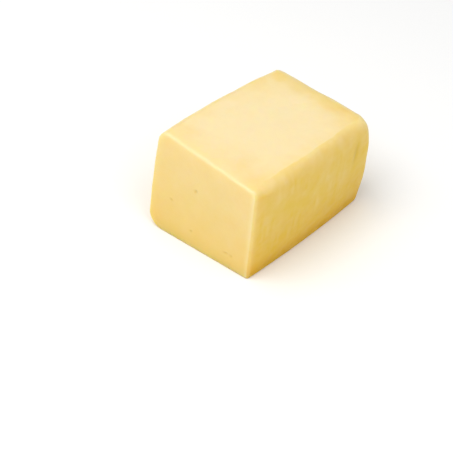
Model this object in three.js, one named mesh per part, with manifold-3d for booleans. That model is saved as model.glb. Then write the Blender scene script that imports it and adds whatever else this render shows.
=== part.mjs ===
// Mozzarella block: the remaining piece of a moulded loaf of firm, low-moisture mozzarella.
// One solid. Millimetres, +Z up. The cut face looks toward -Y, the moulded end toward +Y.
// Run with the npm packages three and manifold-3d; the default export is a THREE.Group.
import * as THREE from 'three';
import { mergeVertices } from 'three/addons/utils/BufferGeometryUtils.js';
import Module from 'manifold-3d';

// Driving dimensions, in millimetres
const nominal = { width: 100, length: 146, height: 90 };

// Where the left side stands: at the foot, at the top, and how far it swells or draws in
const leftSide = { foot: -101.4, top: -100.5, barrel: -2.1, bow: -2.7, drawIn: 2.8 };

// The same for the right side, measured from the near right corner of the foot, with a belly
// at half height that fades out at both ends
const rightSide = { foot: 0.0, top: 2.4, barrel: -0.2, belly: 1.6, bow: 2.3, drawIn: 0.4 };

// The cut was made by hand, so the face is twisted: its left foot stands forward
const cutFace = { leftFoot: -9.4, leftTop: 2.6, rightFoot: 0.0, rightTop: -1.8 };

// The moulded end leans in toward the top and swells at half height
const mouldedEnd = { foot: 146.5, leftTop: 139.0, rightTop: 137.8, barrel: 8.9 };

// The top sits a little higher on the left and crowns slightly in the middle
const topFace = { crown: 0.5, leftRise: 0.7, endDrop: 0.3 };

// Radii of three of the long edges
const edgeRadius = { topLeft: 9.2, footRight: 1.6, footLeft: 12.6 };

// The top right edge has slumped: crisp at the cut, it falls away in a tall, soft shoulder behind
const shoulderAtCut = { across: 3, up: 6 };
const shoulder = { across: 7, up: 12.5 };
const shoulderRun = { across: 14, up: 45 };
const shoulderSwell = { up: 9, at: 92, spread: 40 };

// How steeply the shoulder leaves the top: its fall for each millimetre across
const shoulderSlant = 0.5;

// Radii around the two ends: barely broken at the cut, full at the moulded end
const cutRadius = { top: 1.8, right: 2.4, foot: 1.6, left: 1.6 };
const endRadius = { top: 10.5, right: 10.8, foot: 13.2, left: 3.2 };

// Rows of the lattice along each axis, closer together near the edges
const rows = { across: 26, along: 34, up: 24 };
const rowCrowding = 1.6;

// Slow unevenness of the moulded skin, which grows from nothing at the foot
const skinWave = { depth: 0.35, acrossPitch: 47, alongPitch: 39, upPitch: 43, footFade: 22.5 };

// A shallow crease pressed into the right side near the moulded end
const crease = { along: 121.3, up: 62.5, depth: 1.0, lean: 0.13, alongSpread: 3.2, upSpread: 9 };

// Small eyes in the cut face: share of the width, share of the height, radii and lean
const eyes = [
  { across: 0.443, up: 0.628, wide: 1.3, tall: 1.9, lean: 0.5 },
  { across: 0.214, up: 0.388, wide: 1.9, tall: 1.2, lean: 0.4 },
  { across: 0.434, up: 0.179, wide: 1.1, tall: 1.6, lean: 0.5 },
  { across: 0.779, up: 0.169, wide: 0.9, tall: 2.6, lean: 1.33 },
  { across: 0.832, up: 0.169, wide: 0.9, tall: 1.5, lean: 0.9 },
];
const eyeDepth = 1.2;
const eyeFacets = { around: 14, down: 10 };

const cheese = { color: '#f6dc98', roughness: 0.5, metalness: 0 };

// Points closer together than this are one, and no length is divided by less than the second
const mergeDistance = 1e-6;
const leastLength = 1e-9;

// Moves evenly spaced rows toward the two ends of their run
function crowd(share) {
  return Math.sign(share) * (1 - Math.pow(1 - Math.abs(share), rowCrowding));
}

// Hump that is 0 at both ends of a run and 1 halfway
function hump(share) {
  return 4 * share * (1 - share);
}

// Flat-topped hump that is 0 at both ends of a run and close to 1 over most of it
function plateau(share) {
  return 1 - Math.pow(2 * share - 1, 4);
}

// Reach, across and up, of the slumped edge at a distance from the cut
function shoulderReach(fromCut) {
  const softenAcross = THREE.MathUtils.smoothstep(fromCut, 0, shoulderRun.across);
  const softenUp = THREE.MathUtils.smoothstep(fromCut, 0, shoulderRun.up);
  const swellOff = (fromCut - shoulderSwell.at) / shoulderSwell.spread;
  return new THREE.Vector2(
    THREE.MathUtils.lerp(shoulderAtCut.across, shoulder.across, softenAcross),
    THREE.MathUtils.lerp(shoulderAtCut.up, shoulder.up, softenUp)
      + shoulderSwell.up * Math.exp(-swellOff * swellOff),
  );
}

// Point of the slumped edge, which leaves the top at a slant and ends upright on the side
function shoulderPoint(outward, reach, half) {
  const share = Math.atan2(outward.x, outward.y) / (Math.PI / 2);
  const rest = 1 - share;
  const inward = reach.x * rest * rest;
  const down = 2 * shoulderSlant * reach.x * share * rest + reach.y * share * share;
  return new THREE.Vector2(half.x - inward, half.z - down);
}

// Radii, across and up, of the long edge nearest to a point of the section
function longEdgeRadii(across, up, fromCut) {
  if (across >= 0 && up >= 0) {
    return shoulderReach(fromCut);
  }
  if (across >= 0) {
    return new THREE.Vector2(edgeRadius.footRight, edgeRadius.footRight);
  }
  const radius = up > 0 ? edgeRadius.topLeft : edgeRadius.footLeft;
  return new THREE.Vector2(radius, radius);
}

// Radius of an end's edge for a given outward direction of the section
function endEdgeRadius(outward, radius) {
  const sideways = outward.x > 0 ? radius.right : radius.left;
  const upright = outward.y > 0 ? radius.top : radius.foot;
  return sideways * outward.x * outward.x + upright * outward.y * outward.y;
}

// Point of the rounded straight block for a lattice point whose coordinates run from -1 to 1
function roundedBlock(lattice) {
  const half = new THREE.Vector3(nominal.width / 2, nominal.length / 2, nominal.height / 2);
  const inset = Math.min(half.x, half.z);
  const ring = Math.max(Math.abs(lattice.x), Math.abs(lattice.z));
  const scale = 1 / Math.max(ring, leastLength);
  const edge = new THREE.Vector2(lattice.x * scale * half.x, lattice.z * scale * half.z);
  const radii = longEdgeRadii(lattice.x, lattice.z, (lattice.y + 1) * half.y);
  const core = new THREE.Vector2(
    THREE.MathUtils.clamp(edge.x, radii.x - half.x, half.x - radii.x),
    THREE.MathUtils.clamp(edge.y, radii.y - half.z, half.z - radii.y),
  );
  const outward = edge.clone().sub(core).divide(radii).normalize();
  const onShoulder = lattice.x > 0 && lattice.z > 0 && outward.x > 0 && outward.y > 0;
  const section = onShoulder
    ? shoulderPoint(outward, radii, half)
    : outward.clone().multiply(radii).add(core);
  const endRound = endEdgeRadius(outward, lattice.y < 0 ? cutRadius : endRadius);
  let fromSide = (1 - ring) * inset;
  let fromEnd = (1 - Math.abs(lattice.y)) * half.y;
  if (fromSide < endRound && fromEnd < endRound) {
    const spoke = new THREE.Vector2(endRound - fromSide, endRound - fromEnd).normalize();
    fromSide = endRound * (1 - spoke.x);
    fromEnd = endRound * (1 - spoke.y);
  }
  return new THREE.Vector3(
    section.x * (1 - fromSide / inset),
    Math.sign(lattice.y) * (half.y - fromEnd),
    section.y * (1 - fromSide / inset),
  );
}

// Bends the straight block into the sagged, hand-cut piece; all shares run from 0 to 1
function settle(point) {
  const across = point.x / nominal.width + 0.5;
  const along = point.y / nominal.length + 0.5;
  const up = point.z / nominal.height + 0.5;
  const left = THREE.MathUtils.lerp(leftSide.foot, leftSide.top, up)
    + leftSide.barrel * hump(up) + leftSide.bow * hump(along) + leftSide.drawIn * along * along;
  const right = THREE.MathUtils.lerp(rightSide.foot, rightSide.top, up)
    + rightSide.barrel * hump(up) + rightSide.belly * hump(up) * plateau(along)
    + rightSide.bow * hump(along) + rightSide.drawIn * along * along;
  const cutLeft = THREE.MathUtils.lerp(cutFace.leftFoot, cutFace.leftTop, up);
  const cutRight = THREE.MathUtils.lerp(cutFace.rightFoot, cutFace.rightTop, up);
  const cut = THREE.MathUtils.lerp(cutLeft, cutRight, across);
  const endTop = THREE.MathUtils.lerp(mouldedEnd.leftTop, mouldedEnd.rightTop, across);
  const end = THREE.MathUtils.lerp(mouldedEnd.foot, endTop, up) + mouldedEnd.barrel * hump(up);
  const top = nominal.height + topFace.crown * hump(across) * hump(along)
    + topFace.leftRise * (1 - across) - topFace.endDrop * along;
  return new THREE.Vector3(
    THREE.MathUtils.lerp(left, right, across),
    THREE.MathUtils.lerp(cut, end, along),
    top * up,
  );
}

// Adds the slow unevenness of the skin; it fades out at the foot so that the base stays flat
function waver(point, along) {
  const turn = 2 * Math.PI;
  const waveAlong = Math.sin(turn * point.y / skinWave.alongPitch);
  const wave = waveAlong * Math.cos(turn * point.z / skinWave.upPitch);
  const fade = along * Math.min(1, point.z / skinWave.footFade);
  point.x += skinWave.depth * wave * fade;
  point.z += skinWave.depth * Math.sin(turn * point.x / skinWave.acrossPitch) * fade;
  return point;
}

// Presses the crease into the right side, fading out toward the middle of the width
function press(point, across) {
  const above = point.z - crease.up;
  const alongOff = (point.y - crease.along - crease.lean * above) / crease.alongSpread;
  const upOff = above / crease.upSpread;
  const depth = crease.depth * Math.exp(-alongOff * alongOff - upOff * upOff);
  point.x -= depth * THREE.MathUtils.smoothstep(across, 0.5, 1);
  return point;
}

// Finished surface point for a lattice point
function surfacePoint(lattice) {
  const straight = roundedBlock(lattice);
  const along = straight.y / nominal.length + 0.5;
  const across = straight.x / nominal.width + 0.5;
  return press(waver(settle(straight), along), across);
}

// Closed skin of the whole block
function blockGeometry() {
  const box = new THREE.BoxGeometry(2, 2, 2, rows.across, rows.along, rows.up);
  box.deleteAttribute('normal');
  box.deleteAttribute('uv');
  const skin = mergeVertices(box, mergeDistance);
  const position = skin.attributes.position;
  const lattice = new THREE.Vector3();
  for (let i = 0; i < position.count; i += 1) {
    lattice.fromBufferAttribute(position, i);
    lattice.set(crowd(lattice.x), crowd(lattice.y), crowd(lattice.z));
    const point = surfacePoint(lattice);
    position.setXYZ(i, point.x, point.y, point.z);
  }
  return skin;
}

// Egg-shaped cutter for one eye, centred just in front of the cut face
function eyeGeometry(eye) {
  const ball = new THREE.SphereGeometry(1, eyeFacets.around, eyeFacets.down);
  ball.deleteAttribute('normal');
  ball.deleteAttribute('uv');
  const cutter = mergeVertices(ball, mergeDistance);
  const spot = surfacePoint(new THREE.Vector3(2 * eye.across - 1, -1, 2 * eye.up - 1));
  cutter.scale(eye.wide, eyeDepth, eye.tall);
  cutter.rotateY(eye.lean);
  cutter.translate(spot.x, spot.y, spot.z);
  return cutter;
}

function toSolid(wasm, geometry) {
  return new wasm.Manifold(new wasm.Mesh({
    numProp: 3,
    vertProperties: new Float32Array(geometry.attributes.position.array),
    triVerts: new Uint32Array(geometry.index.array),
  }));
}

function toGeometry(solid) {
  const mesh = solid.getMesh();
  const geometry = new THREE.BufferGeometry();
  geometry.setAttribute('position', new THREE.BufferAttribute(mesh.vertProperties, mesh.numProp));
  geometry.setIndex(new THREE.BufferAttribute(mesh.triVerts, 1));
  return geometry;
}

// Puts the origin under the middle of the block, on the surface it stands on
function centreOnBase(geometry) {
  geometry.computeBoundingBox();
  const box = geometry.boundingBox;
  geometry.translate(-(box.min.x + box.max.x) / 2, -(box.min.y + box.max.y) / 2, -box.min.z);
  geometry.computeVertexNormals();
  return geometry;
}

const wasm = await Module();
wasm.setup();

let solid = toSolid(wasm, blockGeometry());
for (const eye of eyes) {
  solid = solid.subtract(toSolid(wasm, eyeGeometry(eye)));
}

const material = new THREE.MeshStandardMaterial(cheese);
const block = new THREE.Mesh(centreOnBase(toGeometry(solid)), material);
block.name = 'mozzarella_block';

const part = new THREE.Group();
part.name = 'mozzarella_block_part';
part.add(block);

export default part;
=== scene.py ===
import math

import bpy
import numpy as np
from mathutils import Matrix, Vector


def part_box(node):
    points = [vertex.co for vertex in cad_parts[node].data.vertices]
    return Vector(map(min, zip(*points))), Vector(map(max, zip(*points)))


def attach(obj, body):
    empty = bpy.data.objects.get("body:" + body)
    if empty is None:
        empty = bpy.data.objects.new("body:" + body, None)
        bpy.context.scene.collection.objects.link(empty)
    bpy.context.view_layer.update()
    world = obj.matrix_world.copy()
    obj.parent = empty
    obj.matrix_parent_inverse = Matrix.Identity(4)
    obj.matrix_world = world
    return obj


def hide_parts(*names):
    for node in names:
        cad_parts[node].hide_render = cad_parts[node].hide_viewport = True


# A block of firm mozzarella: the remaining piece of a moulded loaf, cut by hand at one end.
# Shapes are worked out in millimetres, as in the part's source, and scaled to metres at the end.
# Places are measured from the right corner of the foot at the cut face. The shares across, along
# and up run from 0 to 1 over the straight block that the piece is bent from.

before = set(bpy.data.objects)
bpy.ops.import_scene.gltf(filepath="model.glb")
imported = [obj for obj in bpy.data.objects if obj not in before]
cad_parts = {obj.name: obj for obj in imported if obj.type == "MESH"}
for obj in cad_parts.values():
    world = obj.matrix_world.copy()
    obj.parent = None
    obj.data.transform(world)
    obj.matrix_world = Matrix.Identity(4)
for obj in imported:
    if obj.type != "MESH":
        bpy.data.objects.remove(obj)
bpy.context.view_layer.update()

NODE = "mozzarella_block"
MM = 0.001
LEAST_LENGTH = 1e-9

# Straight block before it sags
WIDTH = 100.0
LENGTH = 146.0
HEIGHT = 90.0

# Left and right sides: where they stand at foot and top, their swell, bow and draw-in
LEFT_SIDE = {"foot": -101.4, "top": -100.5, "barrel": -2.1, "bow": -2.7, "draw_in": 2.8}
RIGHT_SIDE = {"foot": 0.0, "top": 2.4, "barrel": -0.2, "bow": 2.3, "draw_in": 0.4}

# The right side also has a belly at half height that fades out at both ends
RIGHT_BELLY = 1.6

# Twisted hand-cut face, moulded end and top
CUT_FACE = {"left_foot": -9.4, "left_top": 2.6, "right_foot": 0.0, "right_top": -1.8}
MOULDED_END = {"foot": 146.5, "left_top": 139.0, "right_top": 137.8, "barrel": 8.9}
TOP_FACE = {"crown": 0.5, "left_rise": 0.7, "end_drop": 0.3}

# Edge radii
TOP_LEFT_RADIUS = 9.2
FOOT_RIGHT_RADIUS = 1.6
FOOT_LEFT_RADIUS = 12.6
CUT_RADIUS = {"top": 1.8, "right": 2.4, "foot": 1.6, "left": 1.6}
END_RADIUS = {"top": 10.5, "right": 10.8, "foot": 13.2, "left": 3.2}

# The top right edge has slumped into a tall, soft shoulder that wavers along its length
SHOULDER_AT_CUT = {"across": 3.0, "up": 6.0}
SHOULDER = {"across": 7.0, "up": 12.5}
SHOULDER_RUN = {"across": 14.0, "up": 45.0}
SHOULDER_SWELL = {"up": 9.0, "at": 92.0, "spread": 40.0}
SHOULDER_SLANT = 0.5
SHOULDER_WAVER = {"depth": 0.9, "pitch": 12.0, "seed": 15}

# Slow waves of the skin and the crease pressed into the right side, as in the solid
SKIN_WAVE = {
    "depth": 0.35,
    "across_pitch": 47.0,
    "along_pitch": 39.0,
    "up_pitch": 43.0,
    "foot_fade": 22.5,
}
CREASE = {
    "along": 121.3,
    "up": 62.5,
    "depth": 1.0,
    "lean": 0.13,
    "along_spread": 3.2,
    "up_spread": 9.0,
}

# Rows of the fine lattice, closer together near the edges, and a number above all three counts
ROWS = {"across": 128, "along": 140, "up": 104}
ROW_CROWDING = 1.25
ROW_LIMIT = 1000

# How far a normal turns toward a side where its point starts, and is full, part of that side
CUT_FACING = (0.75, 0.95)
SIDE_FACING = (0.6, 0.95)
FLAT_FACING = (0.8, 0.97)

# Shares of the length that belong to the cut's rim and to its flat face
CUT_SHARE = 0.1
CUT_PLANE_SHARE = 0.005

# Eyes in the cut face: share of width, share of height, half sizes, lean in radians, depth
EYES = [
    {"across": 0.443, "up": 0.628, "wide": 1.1, "tall": 1.7, "lean": 0.5, "depth": 1.0},
    {"across": 0.214, "up": 0.388, "wide": 1.6, "tall": 1.0, "lean": 0.4, "depth": 0.7},
    {"across": 0.434, "up": 0.179, "wide": 1.0, "tall": 1.3, "lean": 0.5, "depth": 0.8},
    {"across": 0.779, "up": 0.169, "wide": 0.8, "tall": 2.3, "lean": 1.33, "depth": 1.0},
    {"across": 0.832, "up": 0.169, "wide": 0.9, "tall": 1.3, "lean": 0.9, "depth": 0.8},
]
EYE_STEEPNESS = 1.5

# Smooth noise: fineness and share of its layers, and the size of its table
NOISE_LAYERS = [(1.0, 0.9), (2.1, 0.5)]
NOISE_CELLS = 64

# Fine relief: dents and grain of the skin, shallower over the rounded edges, and the knife's drag
SKIN_DENT = {"depth": 0.33, "pitch": 11.0, "seed": 11}
SKIN_GRAIN = {"depth": 0.05, "pitch": 4.0, "seed": 12}
EDGE_DENT_SHARE = 0.35
KNIFE_DRAG = {"depth": 0.07, "pitch": 7.0, "length": 60.0, "lean": 0.35, "seed": 14}

# The relief fades out over this height, so that the base stays flat
FOOT_CALM = 5.0

# Upright lines that the mould has left in the sides: depth, how much paler, width and height
STREAK = {"depth": 0.22, "tint": 0.30, "wide": 3.4, "tall": 24.0, "seed": 16}

# Faint patches of such lines all over the sides, where the noise is above zero
STREAK_STRAY = {"share": 0.42, "pitch": 20.0, "full_at": 0.5, "seed": 13}

# Clear patches of them on the right side
STREAK_PATCHES = [
    {"along": 13.0, "up": 45.0, "along_spread": 8.0, "up_spread": 11.0},
    {"along": 48.0, "up": 37.0, "along_spread": 5.0, "up_spread": 7.0},
    {"along": 73.0, "up": 41.0, "along_spread": 3.0, "up_spread": 6.0},
    {"along": 104.0, "up": 38.0, "along_spread": 7.0, "up_spread": 9.0},
]

# How pale the cheese is: 0 is butter yellow, 1 is cream. Where it follows the way a point faces,
# it is partly the cheese's own colour and partly painted light: the top is paler partly as a
# painted sheen, the sides deeper partly as a painted warm bounce.
# The top is cream in the middle and yellower toward each edge and the far right corner, by lines
# that stray from straight
TOP_FACING = (0.93, 0.995)
TOP_EDGES = {
    "left": {"pale": 0.76, "reach": 24.0},
    "right": {"pale": 0.76, "reach": 24.0},
    "back": {"pale": 0.45, "reach": 34.0},
    "cut": {"pale": 0.76, "reach": 40.0},
    "corner": {"pale": 0.82, "reach": 50.0},
}
TOP_STRAY = {"reach": 6.0, "pitch": 14.0, "seed": 21}

# The sides are yellow and paler upward. Over the rounded edges they are paler as painted light,
# more where they face left, and beside the cut as a painted glow through the edge
SIDE_PALE = {"foot": 0.02, "rise": 0.06}
SHOULDER_FACING = (-0.2, 0.93)
SHOULDER_PAINTED_LIGHT = {"all": 0.60, "left": 0.68, "left_facing": 0.5}
NEAR_EDGE_PAINTED_GLOW = {"rise": 0.22, "reach": 10.0, "full_up": 0.5}
BLOTCH = {"shift": 0.09, "pitch": 8.0, "seed": 22}

# The cut face is paler toward the top, and along its right edge as a painted glow through the
# edge
CUT_PALE = {"foot": 0.38, "top": 0.63, "painted_glow": 0.22, "painted_glow_reach": 6.0}

# Soft clouds, paler or deeper than the cheese around them
CLOUDS = [
    {"at": (-84.0, 106.0, 90.0), "spread": 15.0, "shift": -0.18},
    {"at": (-25.0, 21.0, 90.0), "spread": 9.0, "shift": -0.12},
    {"at": (-23.0, 124.0, 90.0), "spread": 9.0, "shift": -0.10},
    {"at": (-10.0, 59.0, 90.0), "spread": 9.0, "shift": 0.10},
    {"at": (2.0, 6.0, 84.0), "spread": 6.0, "shift": -0.12},
    {"at": (3.0, 24.0, 73.0), "spread": 9.0, "shift": 0.13},
    {"at": (3.0, 118.0, 59.0), "spread": 9.0, "shift": -0.22},
    {"at": (3.0, 82.0, 72.0), "spread": 8.0, "shift": 0.10},
    {"at": (4.0, 50.0, 54.0), "spread": 18.0, "shift": -0.07},
    {"at": (2.0, 134.0, 45.0), "spread": 14.0, "shift": -0.12},
]

# Painted shade and painted warm bounce light in deeper amber: toward the foot, in a wide band and
# a narrower line, and at the back edge. It is fainter in the cut face, and on the left and back
# sides
FOOT_WIDE_SHADE_REACH = 60.0
FOOT_LINE = {"low": 1.0, "high": 20.0, "share": 0.6}
FOOT_SHADE_AND_BOUNCE = {"near": 0.95, "far": 1.0, "cut": 0.27, "left_back": 0.6, "turn": 0.5}
BACK_PAINTED_BOUNCE = {"start": 0.93, "share": 0.18, "top_facing": 0.9}
# Painted shade in the crease, in amber
CREASE_AMBER_SHADE = 0.32

# Painted shade: how dark the eyes and the crease are in their hollows, and the left of the cut
EYE_SHADE = 0.4
CREASE_SHADE = 0.36
CUT_LEFT_SHADE = {"share": 0.06, "across": 0.45}

# Painted highlight: a light line along the arris of the cut
HIGHLIGHT_TOP = {"reach": 2.3, "share": 1.0}
HIGHLIGHT_RIGHT = {"reach": 2.6, "share": 0.45}
HIGHLIGHT_LEFT = {"reach": 2.2, "share": 0.3}

# Colours, linear
CREAM = (0.915, 0.75, 0.435, 1.0)
BUTTER = (0.815, 0.560, 0.070, 1.0)
# Colour of the painted shade and painted warm bounce toward the foot and the back edge, and of
# the crease's painted shade
AMBER_YELLOW = (0.725, 0.39, 0.0, 1.0)
# Colour of the painted shade in the hollows and at the left of the cut
OLIVE = (0.60, 0.45, 0.035, 1.0)
# Colour of the painted highlight along the arris of the cut
HIGHLIGHT_CREAM = (0.95, 0.74, 0.59, 1.0)
WHITE = (1.0, 1.0, 1.0, 1.0)

# Cheese: noise scales are per metre, and the noise is used between its low and high values
NOISE_RANGE = (0.3, 0.7)
MOTTLE = {"scale": 55.0, "detail": 3.0, "shift": 0.05}
FLECK = {"scale": 420.0, "detail": 2.0, "shift": 0.02}
MOISTURE = {"scale": 130.0, "detail": 3.0, "wet": 0.38, "dry": 0.52}
PORES = {"scale": 900.0, "detail": 3.0, "strength": 0.35, "depth": 0.0001}
# Strength of the painted highlight
HIGHLIGHT_STRENGTH = 0.4
# Strength of the painted shade
PAINTED_SHADE_STRENGTH = 0.75
CHEESE_SOCKETS = {
    "IOR": 1.45,
    "Specular IOR Level": 0.3,
    "Subsurface Weight": 0.9,
    "Subsurface Radius": (1.0, 0.8, 0.3),
    "Subsurface Scale": 0.014,
}

# Floor, in metres
FLOOR_HALF = 4.0
FLOOR_SOCKETS = {"Base Color": WHITE, "Roughness": 0.9, "Specular IOR Level": 0.1}

# Studio light, in metres and watts
SKY_STRENGTH = 0.50
LIGHT_TARGET = (0.0, 0.0, 0.05)
LIGHTS = {
    "key": {
        "place": (-0.35, -0.85, 1.8),
        "size": 1.4,
        "power": 23.0,
        "colour": (0.99, 0.985, 0.965),
    },
    "fill": {
        "place": (1.0, -0.2, 1.5),
        "size": 1.0,
        "power": 6.1,
        "colour": (0.99, 0.995, 1.0),
    },
}

# Camera, found from the straight edges in the picture: pixels, metres and degrees
PICTURE_WIDTH = 453.0
FOCAL_PIXELS = 961.66
SENSOR_WIDTH = 36.0
CAMERA_TARGET = (0.02841, -0.07565, 0.045)
CAMERA_DISTANCE = 0.7300
CAMERA_AZIMUTH = 40.23
CAMERA_ELEVATION = 42.48
CAMERA_ROLL = 3.97


def lerp(first, second, share):
    return first + (second - first) * share


def hump(share):
    """Hump that is 0 at both ends of a run and 1 halfway."""
    return 4 * share * (1 - share)


def plateau(share):
    """Flat-topped hump that is 0 at both ends of a run."""
    return 1 - (2 * share - 1) ** 4


def smooth_step(value, low, high):
    share = np.clip((value - low) / (high - low), 0, 1)
    return share * share * (3 - 2 * share)


def soft_noise(points, pitch, seed):
    """Smooth two-layer noise of about -1 to 1; points is n by 3, pitch one length or three."""
    rng = np.random.default_rng(seed)
    total = np.zeros(len(points))
    for fineness, share in NOISE_LAYERS:
        turn = np.linalg.qr(rng.normal(size=(3, 3)))[0]
        table = rng.uniform(-1, 1, (NOISE_CELLS, NOISE_CELLS, NOISE_CELLS))
        scaled = points / np.asarray(pitch) * fineness @ turn
        base = np.floor(scaled).astype(int)
        part = scaled - base
        part = part * part * part * (part * (part * 6 - 15) + 10)
        for step in np.ndindex(2, 2, 2):
            corner = (base + step) % NOISE_CELLS
            weight = np.prod(np.where(step, part, 1 - part), axis=1)
            total += share * weight * table[corner[:, 0], corner[:, 1], corner[:, 2]]
    return total


def crowded_rows(count):
    share = np.linspace(-1, 1, count + 1)
    return np.sign(share) * (1 - (1 - np.abs(share)) ** ROW_CROWDING)


def box_lattice():
    """Vertices of a closed box grid, from -1 to 1, and its quads, facing out."""
    counts = (ROWS["across"], ROWS["along"], ROWS["up"])
    axes = [crowded_rows(count) for count in counts]
    keys = []
    for axis in range(3):
        u_axis, v_axis = (axis + 1) % 3, (axis + 2) % 3
        u, v = np.meshgrid(np.arange(counts[u_axis]), np.arange(counts[v_axis]), indexing="ij")
        u, v = u.ravel(), v.ravel()
        for end in (0, 1):
            corners = []
            steps = [(0, 0), (1, 0), (1, 1), (0, 1)]
            for du, dv in steps if end else steps[::-1]:
                index = np.zeros((len(u), 3), int)
                index[:, axis] = end * counts[axis]
                index[:, u_axis] = u + du
                index[:, v_axis] = v + dv
                corners.append((index[:, 0] * ROW_LIMIT + index[:, 1]) * ROW_LIMIT + index[:, 2])
            keys.append(np.stack(corners, 1))
    keys = np.concatenate(keys)
    unique, quads = np.unique(keys, return_inverse=True)
    rows = (unique // ROW_LIMIT ** 2, unique // ROW_LIMIT % ROW_LIMIT, unique % ROW_LIMIT)
    points = np.stack([axes[axis][rows[axis]] for axis in range(3)], 1)
    return points, quads.reshape(keys.shape)


def shoulder_reach(from_cut):
    """Reach, across and up, of the slumped top right edge."""
    soften_across = smooth_step(from_cut, 0, SHOULDER_RUN["across"])
    soften_up = smooth_step(from_cut, 0, SHOULDER_RUN["up"])
    line = np.zeros((len(from_cut), 3))
    line[:, 1] = from_cut
    wobble = soft_noise(line, SHOULDER_WAVER["pitch"], SHOULDER_WAVER["seed"])
    behind = SHOULDER["across"] + SHOULDER_WAVER["depth"] * wobble
    swell = np.exp(-((from_cut - SHOULDER_SWELL["at"]) / SHOULDER_SWELL["spread"]) ** 2)
    across = lerp(SHOULDER_AT_CUT["across"], behind, soften_across)
    up = lerp(SHOULDER_AT_CUT["up"], SHOULDER["up"], soften_up)
    return across, up + SHOULDER_SWELL["up"] * swell


def end_edge_radius(out_x, out_z, radius):
    """Radius of an end's edge for a given outward direction of the section."""
    sideways = np.where(out_x > 0, radius["right"], radius["left"])
    upright = np.where(out_z > 0, radius["top"], radius["foot"])
    return sideways * out_x ** 2 + upright * out_z ** 2


def rounded_block(lattice):
    """Rounded straight block, centred on the origin."""
    half_x, half_y, half_z = WIDTH / 2, LENGTH / 2, HEIGHT / 2
    inset = min(half_x, half_z)
    x, y, z = lattice.T
    ring = np.maximum(np.abs(x), np.abs(z))
    scale = 1 / np.maximum(ring, LEAST_LENGTH)
    edge_x, edge_z = x * scale * half_x, z * scale * half_z
    shoulder_across, shoulder_up = shoulder_reach((y + 1) * half_y)
    left = np.where(z > 0, TOP_LEFT_RADIUS, FOOT_LEFT_RADIUS)
    radius_x = np.where(x < 0, left, np.where(z < 0, FOOT_RIGHT_RADIUS, shoulder_across))
    radius_z = np.where(x < 0, left, np.where(z < 0, FOOT_RIGHT_RADIUS, shoulder_up))
    core_x = np.clip(edge_x, radius_x - half_x, half_x - radius_x)
    core_z = np.clip(edge_z, radius_z - half_z, half_z - radius_z)
    out_x, out_z = (edge_x - core_x) / radius_x, (edge_z - core_z) / radius_z
    length = np.maximum(np.hypot(out_x, out_z), LEAST_LENGTH)
    out_x, out_z = out_x / length, out_z / length
    section_x, section_z = core_x + radius_x * out_x, core_z + radius_z * out_z
    on_shoulder = (x > 0) & (z > 0) & (out_x > 0) & (out_z > 0)
    share = np.arctan2(out_x, out_z) / (math.pi / 2)
    inward = radius_x * (1 - share) ** 2
    down = 2 * SHOULDER_SLANT * radius_x * share * (1 - share) + radius_z * share ** 2
    section_x = np.where(on_shoulder, half_x - inward, section_x)
    section_z = np.where(on_shoulder, half_z - down, section_z)
    cut_round = end_edge_radius(out_x, out_z, CUT_RADIUS)
    end_round = np.where(y < 0, cut_round, end_edge_radius(out_x, out_z, END_RADIUS))
    from_side = (1 - ring) * inset
    from_end = (1 - np.abs(y)) * half_y
    near = (from_side < end_round) & (from_end < end_round)
    spoke_side, spoke_end = end_round - from_side, end_round - from_end
    length = np.maximum(np.hypot(spoke_side, spoke_end), LEAST_LENGTH)
    from_side = np.where(near, end_round * (1 - spoke_side / length), from_side)
    from_end = np.where(near, end_round * (1 - spoke_end / length), from_end)
    shrink = 1 - from_side / inset
    return np.stack([
        section_x * shrink,
        np.sign(y) * (half_y - from_end),
        section_z * shrink,
    ], 1)


def side_line(side, up, along):
    """Where a long side stands, for shares of the height and the length."""
    line = lerp(side["foot"], side["top"], up) + side["barrel"] * hump(up)
    return line + side["bow"] * hump(along) + side["draw_in"] * along ** 2


def settle(across, along, up):
    """Bends the straight block into the sagged, hand-cut piece."""
    left = side_line(LEFT_SIDE, up, along)
    right = side_line(RIGHT_SIDE, up, along) + RIGHT_BELLY * hump(up) * plateau(along)
    cut_left = lerp(CUT_FACE["left_foot"], CUT_FACE["left_top"], up)
    cut_right = lerp(CUT_FACE["right_foot"], CUT_FACE["right_top"], up)
    cut = lerp(cut_left, cut_right, across)
    end_top = lerp(MOULDED_END["left_top"], MOULDED_END["right_top"], across)
    end = lerp(MOULDED_END["foot"], end_top, up) + MOULDED_END["barrel"] * hump(up)
    top = HEIGHT + TOP_FACE["crown"] * hump(across) * hump(along)
    top = top + TOP_FACE["left_rise"] * (1 - across) - TOP_FACE["end_drop"] * along
    return np.stack([lerp(left, right, across), lerp(cut, end, along), top * up], 1)


def waver(points, along):
    """Adds the slow unevenness of the skin, which grows from nothing at the foot and the cut."""
    turn = 2 * math.pi
    x, y, z = points.T
    wave = np.sin(turn * y / SKIN_WAVE["along_pitch"]) * np.cos(turn * z / SKIN_WAVE["up_pitch"])
    fade = along * np.minimum(1, z / SKIN_WAVE["foot_fade"])
    x = x + SKIN_WAVE["depth"] * wave * fade
    z = z + SKIN_WAVE["depth"] * np.sin(turn * x / SKIN_WAVE["across_pitch"]) * fade
    return np.stack([x, y, z], 1)


def spot_mask(along_off, up_off):
    """Soft round spot, 1 at its middle, for distances counted in its spreads."""
    return np.exp(-along_off ** 2 - up_off ** 2)


def crease_mask(points, across):
    """The crease, from 0 to 1, fading out toward the middle of the width."""
    above = points[:, 2] - CREASE["up"]
    along_off = (points[:, 1] - CREASE["along"] - CREASE["lean"] * above) / CREASE["along_spread"]
    return spot_mask(along_off, above / CREASE["up_spread"]) * smooth_step(across, 0.5, 1)


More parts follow.
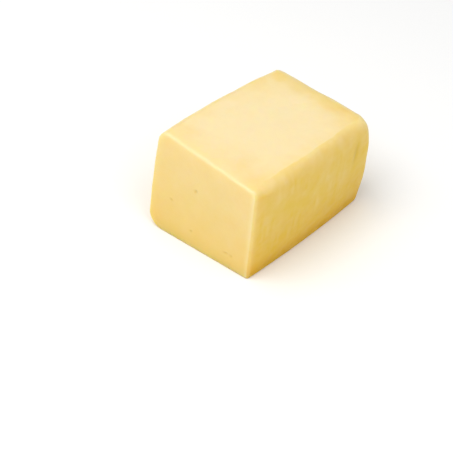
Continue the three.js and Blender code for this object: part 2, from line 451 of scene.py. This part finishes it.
def vertex_normals(points, quads):
    first = points[quads[:, 2]] - points[quads[:, 0]]
    second = points[quads[:, 3]] - points[quads[:, 1]]
    face = np.cross(first, second)
    normals = np.zeros_like(points)
    for corner in range(4):
        for axis in range(3):
            normals[:, axis] += np.bincount(quads[:, corner], face[:, axis], len(points))
    return normals / np.linalg.norm(normals, axis=1)[:, None]


class Skin:
    """The plain form: its points and quads, and what part of the block each point is on."""

    def __init__(self):
        lattice, self.quads = box_lattice()
        straight = rounded_block(lattice)
        self.across = straight[:, 0] / WIDTH + 0.5
        self.along = straight[:, 1] / LENGTH + 0.5
        self.up = straight[:, 2] / HEIGHT + 0.5
        self.points = waver(settle(self.across, self.along, self.up), self.along)
        self.crease = crease_mask(self.points, self.across)
        self.points[:, 0] -= CREASE["depth"] * self.crease
        self.normals = vertex_normals(self.points, self.quads)
        by_cut = self.along < CUT_SHARE
        self.on_cut = smooth_step(-self.normals[:, 1], *CUT_FACING) * by_cut
        self.on_side = smooth_step(np.abs(self.normals[:, 0]), *SIDE_FACING)
        self.flat = smooth_step(np.abs(self.normals).max(1), *FLAT_FACING)


def eye_bowls(skin):
    """Depth and 0 to 1 painted shade of the eyes of the cut face."""
    depth = np.zeros(len(skin.points))
    shade = np.zeros(len(skin.points))
    for eye in EYES:
        side = (skin.across - eye["across"]) * WIDTH
        rise = (skin.up - eye["up"]) * HEIGHT
        turned_side = side * math.cos(eye["lean"]) - rise * math.sin(eye["lean"])
        turned_rise = side * math.sin(eye["lean"]) + rise * math.cos(eye["lean"])
        reach = (turned_side / eye["wide"]) ** 2 + (turned_rise / eye["tall"]) ** 2
        bowl = np.exp(-reach ** EYE_STEEPNESS)
        depth += eye["depth"] * bowl
        shade = np.maximum(shade, bowl)
    in_face = skin.along < CUT_PLANE_SHARE
    return depth * in_face, shade * in_face


def streak_patches(points):
    """Where the mould has left short upright lines in the skin, from 0 to 1."""
    stray = soft_noise(points, STREAK_STRAY["pitch"], STREAK_STRAY["seed"])
    patch = STREAK_STRAY["share"] * smooth_step(stray, 0.0, STREAK_STRAY["full_at"])
    on_right = points[:, 0] > -WIDTH / 2
    for spot in STREAK_PATCHES:
        along_off = (points[:, 1] - spot["along"]) / spot["along_spread"]
        up_off = (points[:, 2] - spot["up"]) / spot["up_spread"]
        patch = np.maximum(patch, spot_mask(along_off, up_off) * on_right)
    return patch


def streak_lines(points):
    """Short upright lines that the mould has left, raised and pale or sunk and deep in turn."""
    pitch = (STREAK["tall"], STREAK["wide"], STREAK["tall"])
    return streak_patches(points) * soft_noise(points, pitch, STREAK["seed"])


def knife_lines(points):
    """Long, faint lines that the knife has dragged across the cut face."""
    lean = KNIFE_DRAG["lean"]
    turned = points.copy()
    turned[:, 0] = points[:, 0] * math.cos(lean) - points[:, 2] * math.sin(lean)
    turned[:, 2] = points[:, 0] * math.sin(lean) + points[:, 2] * math.cos(lean)
    pitch = (KNIFE_DRAG["length"], KNIFE_DRAG["length"], KNIFE_DRAG["pitch"])
    return soft_noise(turned, pitch, KNIFE_DRAG["seed"])


def fine_relief(skin, streak, eye_depth):
    """How far each point stands out of the plain form."""
    dent = SKIN_DENT["depth"] * lerp(EDGE_DENT_SHARE, 1, skin.flat)
    dent = dent * soft_noise(skin.points, SKIN_DENT["pitch"], SKIN_DENT["seed"])
    grain = SKIN_GRAIN["depth"] * soft_noise(skin.points, SKIN_GRAIN["pitch"], SKIN_GRAIN["seed"])
    relief = (1 - skin.on_cut) * (dent + grain)
    relief += STREAK["depth"] * streak
    relief += skin.on_cut * KNIFE_DRAG["depth"] * knife_lines(skin.points)
    relief -= eye_depth
    return relief * smooth_step(skin.points[:, 2], 0, FOOT_CALM)


def side_pale(skin):
    """Paleness of the sides, with painted light over the rounded edges above them and a painted
    glow beside the cut.
    """
    # Painted light: paler where the edge turns up, more where it faces left
    over_edge = smooth_step(skin.normals[:, 2], *SHOULDER_FACING)
    upright = 1 - over_edge
    pale = lerp(SIDE_PALE["foot"], SHOULDER_PAINTED_LIGHT["all"], over_edge)
    pale = pale + SIDE_PALE["rise"] * skin.up * upright
    on_left = smooth_step(-skin.normals[:, 0], 0.0, SHOULDER_PAINTED_LIGHT["left_facing"])
    pale = lerp(pale, SHOULDER_PAINTED_LIGHT["left"], on_left * over_edge)
    # Painted glow through the near edge, on the side beside the cut
    by_cut = 1 - smooth_step(skin.along * LENGTH, 0, NEAR_EDGE_PAINTED_GLOW["reach"])
    by_cut = by_cut * smooth_step(skin.up, 0, NEAR_EDGE_PAINTED_GLOW["full_up"])
    pale = pale + NEAR_EDGE_PAINTED_GLOW["rise"] * by_cut * upright
    return pale + BLOTCH["shift"] * soft_noise(skin.points, BLOTCH["pitch"], BLOTCH["seed"])


def top_pale(skin):
    """Paleness of the top."""
    stray = soft_noise(skin.points, TOP_STRAY["pitch"], TOP_STRAY["seed"])
    from_right = (1 - skin.across) * WIDTH
    from_back = (1 - skin.along) * LENGTH
    distances = {
        "left": skin.across * WIDTH,
        "right": from_right,
        "back": from_back,
        "cut": skin.along * LENGTH,
        "corner": np.hypot(from_right, from_back),
    }
    pale = np.ones(len(stray))
    for name, edge in TOP_EDGES.items():
        distance = distances[name] + TOP_STRAY["reach"] * stray
        pale *= lerp(edge["pale"], 1.0, smooth_step(distance, 0, edge["reach"]))
    return pale


def cut_pale(skin):
    """Paleness of the cut face, with a painted glow along its right edge."""
    from_right = (1 - skin.across) * WIDTH
    painted_glow = 1 - smooth_step(from_right, 0, CUT_PALE["painted_glow_reach"])
    return lerp(CUT_PALE["foot"], CUT_PALE["top"], skin.up) + CUT_PALE["painted_glow"] * painted_glow


def pale_mask(skin, streak):
    """How pale the cheese is all over."""
    # Top or side paleness chosen by facing, partly painted light
    pale = lerp(side_pale(skin), top_pale(skin), smooth_step(skin.normals[:, 2], *TOP_FACING))
    for cloud in CLOUDS:
        away = np.linalg.norm(skin.points - np.array(cloud["at"]), axis=1) / cloud["spread"]
        pale = pale + cloud["shift"] * np.exp(-away ** 2)
    pale = np.clip(lerp(pale, cut_pale(skin), skin.on_cut), 0, 1)
    return np.clip(pale + STREAK["tint"] * streak, 0, 1)


def painted_shade_and_bounce_mask(skin):
    """Deeper amber: painted shade and painted warm bounce at the foot and the back edge, and
    painted shade in the crease.
    """
    height = skin.points[:, 2]
    wide_shade = 1 - smooth_step(height, 0, FOOT_WIDE_SHADE_REACH)
    line = 1 - smooth_step(height, FOOT_LINE["low"], FOOT_LINE["high"])
    strength = lerp(FOOT_SHADE_AND_BOUNCE["near"], FOOT_SHADE_AND_BOUNCE["far"], skin.along)
    strength = lerp(strength, FOOT_SHADE_AND_BOUNCE["cut"], skin.on_cut)
    turn = FOOT_SHADE_AND_BOUNCE["turn"]
    right_front = smooth_step(skin.normals[:, 0] - skin.normals[:, 1], -turn, turn)
    strength = strength * lerp(FOOT_SHADE_AND_BOUNCE["left_back"], 1.0, right_front)
    foot = lerp(wide_shade, line, FOOT_LINE["share"]) * strength
    below_top = skin.normals[:, 2] < BACK_PAINTED_BOUNCE["top_facing"]
    back = smooth_step(skin.along, BACK_PAINTED_BOUNCE["start"], 1) * below_top * BACK_PAINTED_BOUNCE["share"]
    amber = np.clip(np.maximum(foot, back), 0, 1)
    return np.maximum(amber, CREASE_AMBER_SHADE * skin.crease)


def arris_highlight(skin, from_edge, line):
    """Soft painted highlight where the cut meets one of its edges."""
    away = np.hypot(skin.along * LENGTH, from_edge) / line["reach"]
    return line["share"] * np.exp(-away ** 2)


def painted_highlight_mask(skin):
    """Painted highlight: a light, creamy line along the arris of the cut, strongest at the top.
    """
    top = arris_highlight(skin, (1 - skin.up) * HEIGHT, HIGHLIGHT_TOP)
    right = arris_highlight(skin, (1 - skin.across) * WIDTH, HIGHLIGHT_RIGHT)
    left = arris_highlight(skin, skin.across * WIDTH, HIGHLIGHT_LEFT)
    return np.maximum(top, right + left)


def painted_shade_mask(skin, eye_shade):
    """Painted shade: a little darker in the hollows of the eyes and the crease, and toward the
    left of the cut.
    """
    left_shade = CUT_LEFT_SHADE["share"] * skin.on_cut * (1 - smooth_step(skin.across, 0, CUT_LEFT_SHADE["across"]))
    return np.clip(EYE_SHADE * eye_shade + CREASE_SHADE * skin.crease + left_shade, 0, 1)


def block_shape():
    """Finished vertices in metres, centred over the CAD node's footprint, quads and masks."""
    skin = Skin()
    streak = skin.on_side * streak_lines(skin.points)
    eye_depth, eye_shade = eye_bowls(skin)
    relief = fine_relief(skin, streak, eye_depth)
    points = skin.points + skin.normals * relief[:, None]
    points[:, 2] = np.maximum(points[:, 2], 0)
    # The masks in turn: paleness, partly painted light; painted shade and warm bounce; a painted
    # highlight; painted shade
    masks = {
        "pale": pale_mask(skin, streak),
        "amber": painted_shade_and_bounce_mask(skin),
        "painted_highlight": painted_highlight_mask(skin),
        "sunk": painted_shade_mask(skin, eye_shade),
    }
    low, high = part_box(NODE)
    middle = (skin.points.min(0) + skin.points.max(0)) / 2
    points = points * MM
    points[:, 0] += (low[0] + high[0]) / 2 - middle[0] * MM
    points[:, 1] += (low[1] + high[1]) / 2 - middle[1] * MM
    points[:, 2] += low[2]
    return points, skin.quads, masks


def mesh_object(name, points, quads, masks):
    mesh = bpy.data.meshes.new(name)
    mesh.from_pydata(points.tolist(), [], quads.tolist())
    mesh.polygons.foreach_set("use_smooth", [True] * len(mesh.polygons))
    for key, values in masks.items():
        layer = mesh.attributes.new(key, "FLOAT", "POINT")
        layer.data.foreach_set("value", values.astype(np.float32))
    mesh.update()
    thing = bpy.data.objects.new(name, mesh)
    bpy.context.collection.objects.link(thing)
    return thing


def feed(tree, socket, value):
    """Links a socket to another one, or sets its constant."""
    if isinstance(value, bpy.types.NodeSocket):
        tree.links.new(value, socket)
    else:
        socket.default_value = value


def add_node(tree, kind, settings=None, inputs=None):
    node = tree.nodes.new(kind)
    for key, value in (settings or {}).items():
        setattr(node, key, value)
    for key, value in (inputs or {}).items():
        feed(tree, node.inputs[key], value)
    return node


def noise(tree, coordinates, look):
    inputs = {"Vector": coordinates, "Scale": look["scale"], "Detail": look["detail"]}
    return add_node(tree, "ShaderNodeTexNoise", inputs=inputs).outputs["Fac"]


def remap_noise(tree, value, low, high):
    """Noise brought between two values."""
    inputs = {
        "Value": value,
        "From Min": NOISE_RANGE[0],
        "From Max": NOISE_RANGE[1],
        "To Min": low,
        "To Max": high,
    }
    return add_node(tree, "ShaderNodeMapRange", inputs=inputs).outputs["Result"]


def mix_colour(tree, share, first, second):
    inputs = {0: share, 6: first, 7: second}
    return add_node(tree, "ShaderNodeMix", {"data_type": "RGBA"}, inputs).outputs[2]


def combine(tree, operation, first, second):
    inputs = {0: first, 1: second}
    return add_node(tree, "ShaderNodeMath", {"operation": operation}, inputs).outputs[0]


def attribute(tree, name):
    return add_node(tree, "ShaderNodeAttribute", {"attribute_name": name}).outputs["Fac"]


def cheese_colour(tree, coordinates):
    """Colour mixed from the painted masks, among them painted light and painted shade, with a
    fine mottle.
    """
    pale = attribute(tree, "pale")
    for look in (MOTTLE, FLECK):
        shift = remap_noise(tree, noise(tree, coordinates, look), -look["shift"], look["shift"])
        pale = combine(tree, "ADD", pale, shift)
    painted_highlight = combine(tree, "MULTIPLY", attribute(tree, "painted_highlight"), HIGHLIGHT_STRENGTH)
    sunk = combine(tree, "MULTIPLY", attribute(tree, "sunk"), PAINTED_SHADE_STRENGTH)
    colour = mix_colour(tree, pale, BUTTER, CREAM)
    # Painted shade and painted warm bounce, in amber
    colour = mix_colour(tree, attribute(tree, "amber"), colour, AMBER_YELLOW)
    # Painted highlight along the arris of the cut
    colour = mix_colour(tree, painted_highlight, colour, HIGHLIGHT_CREAM)
    # Painted shade in the hollows and at the left of the cut
    return mix_colour(tree, sunk, colour, OLIVE)


def cheese_material():
    material = bpy.data.materials.new("firm_mozzarella")
    material.use_nodes = True
    tree = material.node_tree
    coordinates = add_node(tree, "ShaderNodeTexCoord").outputs["Object"]
    moisture = noise(tree, coordinates, MOISTURE)
    bump = add_node(tree, "ShaderNodeBump", inputs={
        "Height": noise(tree, coordinates, PORES),
        "Strength": PORES["strength"],
        "Distance": PORES["depth"],
    })
    sockets = {
        "Base Color": cheese_colour(tree, coordinates),
        "Roughness": remap_noise(tree, moisture, MOISTURE["wet"], MOISTURE["dry"]),
        "Normal": bump.outputs["Normal"],
        **CHEESE_SOCKETS,
    }
    for name, value in sockets.items():
        feed(tree, tree.nodes["Principled BSDF"].inputs[name], value)
    return material


def floor_material():
    material = bpy.data.materials.new("white_floor")
    material.use_nodes = True
    tree = material.node_tree
    for name, value in FLOOR_SOCKETS.items():
        feed(tree, tree.nodes["Principled BSDF"].inputs[name], value)
    return material


def make_block():
    points, quads, masks = block_shape()
    block = mesh_object("mozzarella_skin", points, quads, masks)
    block.data.materials.append(cheese_material())
    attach(block, "root")
    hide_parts(NODE)


def make_floor():
    half = FLOOR_HALF
    corners = [(-half, -half, 0), (half, -half, 0), (half, half, 0), (-half, half, 0)]
    mesh = bpy.data.meshes.new("floor")
    mesh.from_pydata(corners, [], [(0, 1, 2, 3)])
    floor = bpy.data.objects.new("floor", mesh)
    bpy.context.collection.objects.link(floor)
    mesh.materials.append(floor_material())


def area_light(name, place, size, power, colour):
    lamp = bpy.data.lights.new(name, "AREA")
    lamp.shape = "SQUARE"
    lamp.size = size
    lamp.energy = power
    lamp.color = colour
    thing = bpy.data.objects.new(name, lamp)
    thing.location = place
    aim = Vector(LIGHT_TARGET) - Vector(place)
    thing.rotation_euler = aim.to_track_quat("-Z", "Y").to_euler()
    bpy.context.collection.objects.link(thing)


def make_light():
    world = bpy.data.worlds.new("studio")
    bpy.context.scene.world = world
    world.use_nodes = True
    sky = world.node_tree.nodes["Background"]
    sky.inputs["Color"].default_value = WHITE
    sky.inputs["Strength"].default_value = SKY_STRENGTH
    for name, light in LIGHTS.items():
        area_light(name, **light)


def make_camera():
    azimuth = math.radians(CAMERA_AZIMUTH)
    elevation = math.radians(CAMERA_ELEVATION)
    roll = math.radians(CAMERA_ROLL)
    back = Vector((
        math.cos(elevation) * math.sin(azimuth),
        -math.cos(elevation) * math.cos(azimuth),
        math.sin(elevation),
    ))
    level = Vector((0, 0, 1)).cross(back).normalized()
    upright = back.cross(level)
    right = level * math.cos(roll) + upright * math.sin(roll)
    top = back.cross(right)
    lens = bpy.data.cameras.new("camera")
    lens.sensor_width = SENSOR_WIDTH
    lens.lens = FOCAL_PIXELS / PICTURE_WIDTH * SENSOR_WIDTH
    camera = bpy.data.objects.new("camera", lens)
    turn = Matrix((right, top, back)).transposed().to_4x4()
    place = Vector(CAMERA_TARGET) + back * CAMERA_DISTANCE
    camera.matrix_world = Matrix.Translation(place) @ turn
    bpy.context.collection.objects.link(camera)
    bpy.context.scene.camera = camera


bpy.context.scene.view_settings.view_transform = "Standard"
make_block()
make_floor()
make_light()
make_camera()
